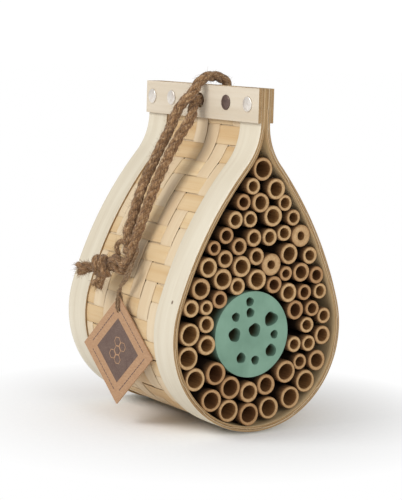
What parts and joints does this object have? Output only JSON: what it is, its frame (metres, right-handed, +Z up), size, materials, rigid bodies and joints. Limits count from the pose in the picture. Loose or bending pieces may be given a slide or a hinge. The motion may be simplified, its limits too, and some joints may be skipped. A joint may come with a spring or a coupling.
{
  "type": "insect hotel",
  "caption": "Teardrop insect hotel of woven bamboo bound by bands, filled with hollow canes and a drilled block, with a riveted top, a jute hanging loop and a tag.",
  "frame": {"origin": "lowest point of the drop, in the plane of its back edge, on its middle plane", "axes": "+X to the right seen from the open front, +Y out of the back, +Z up towards the clamped top; the open front faces -Y"},
  "size_m": [0.1357, 0.127, 0.2099],
  "materials": {
    "band_bamboo": "smooth split bamboo, pale, lightly sanded",
    "inner_bamboo": "split bamboo, inner face",
    "hoop_splint": "pale woven bamboo splint",
    "cross_splint": "yellow woven bamboo splint with fine fibres",
    "rivet": "nickel-plated, polished, slightly domed",
    "back_board": "plain thin board",
    "green_wood": "sawn end grain with thin matt green paint",
    "cane": "dried hollow cane, sawn ends",
    "jute": "three-ply twisted jute, hairy",
    "kraft_card": "uncoated kraft card, printed dark on one face",
    "twine": "thin twisted jute twine"
  },
  "bodies": {
    "housing": {"outer_band_back": "band_bamboo", "outer_band_front": "band_bamboo", "inner_band_back": "inner_bamboo", "inner_band_front": "inner_bamboo", "mat_hoop_splints": "hoop_splint", "mat_cross_splints": "cross_splint", "clamp_strip_left": "band_bamboo", "clamp_strip_right": "band_bamboo", "rivet_posts": "rivet", "rivet_caps": "rivet", "back_panel": "back_board", "nest_block": "green_wood", "canes_broad": "cane", "canes_large": "cane", "canes_stout": "cane", "canes_middle": "cane", "canes_fine": "cane", "canes_slim": "cane", "canes_thick": "cane", "rope_saddle": "jute"},
    "rope_upper": {"rope_outer_strand_top": "jute", "rope_inner_strand_top": "jute"},
    "rope_lower": {"rope_outer_strand_low": "jute", "rope_inner_strand_low": "jute", "rope_knot": "jute", "rope_cut_ends": "jute"},
    "twine": {"tag_twine": "twine"},
    "tag_card": {"tag": "kraft_card", "tag_loop": "twine"}
  },
  "joints": [
    {"name": "rope_lift", "type": "hinge", "parent": "housing", "child": "rope_upper", "pos_m": [-0.0159, -0.0681, 0.1991], "axis": [0, 1, 0], "range_deg": [0, 130]},
    {"name": "rope_bend", "type": "hinge", "parent": "rope_upper", "child": "rope_lower", "pos_m": [-0.0404, -0.0657, 0.1538], "axis": [0, 1, 0], "range_deg": [0, 60]},
    {"name": "twine_swing", "type": "hinge", "parent": "rope_lower", "child": "twine", "pos_m": [-0.0574, -0.0765, 0.0975], "axis": [0, 1, 0], "range_deg": [0, 60]},
    {"name": "tag_turn", "type": "hinge", "parent": "twine", "child": "tag_card", "pos_m": [-0.0618, -0.0697, 0.0797], "axis": [0, 0, 1], "range_deg": [-16, 0]}
  ]
}
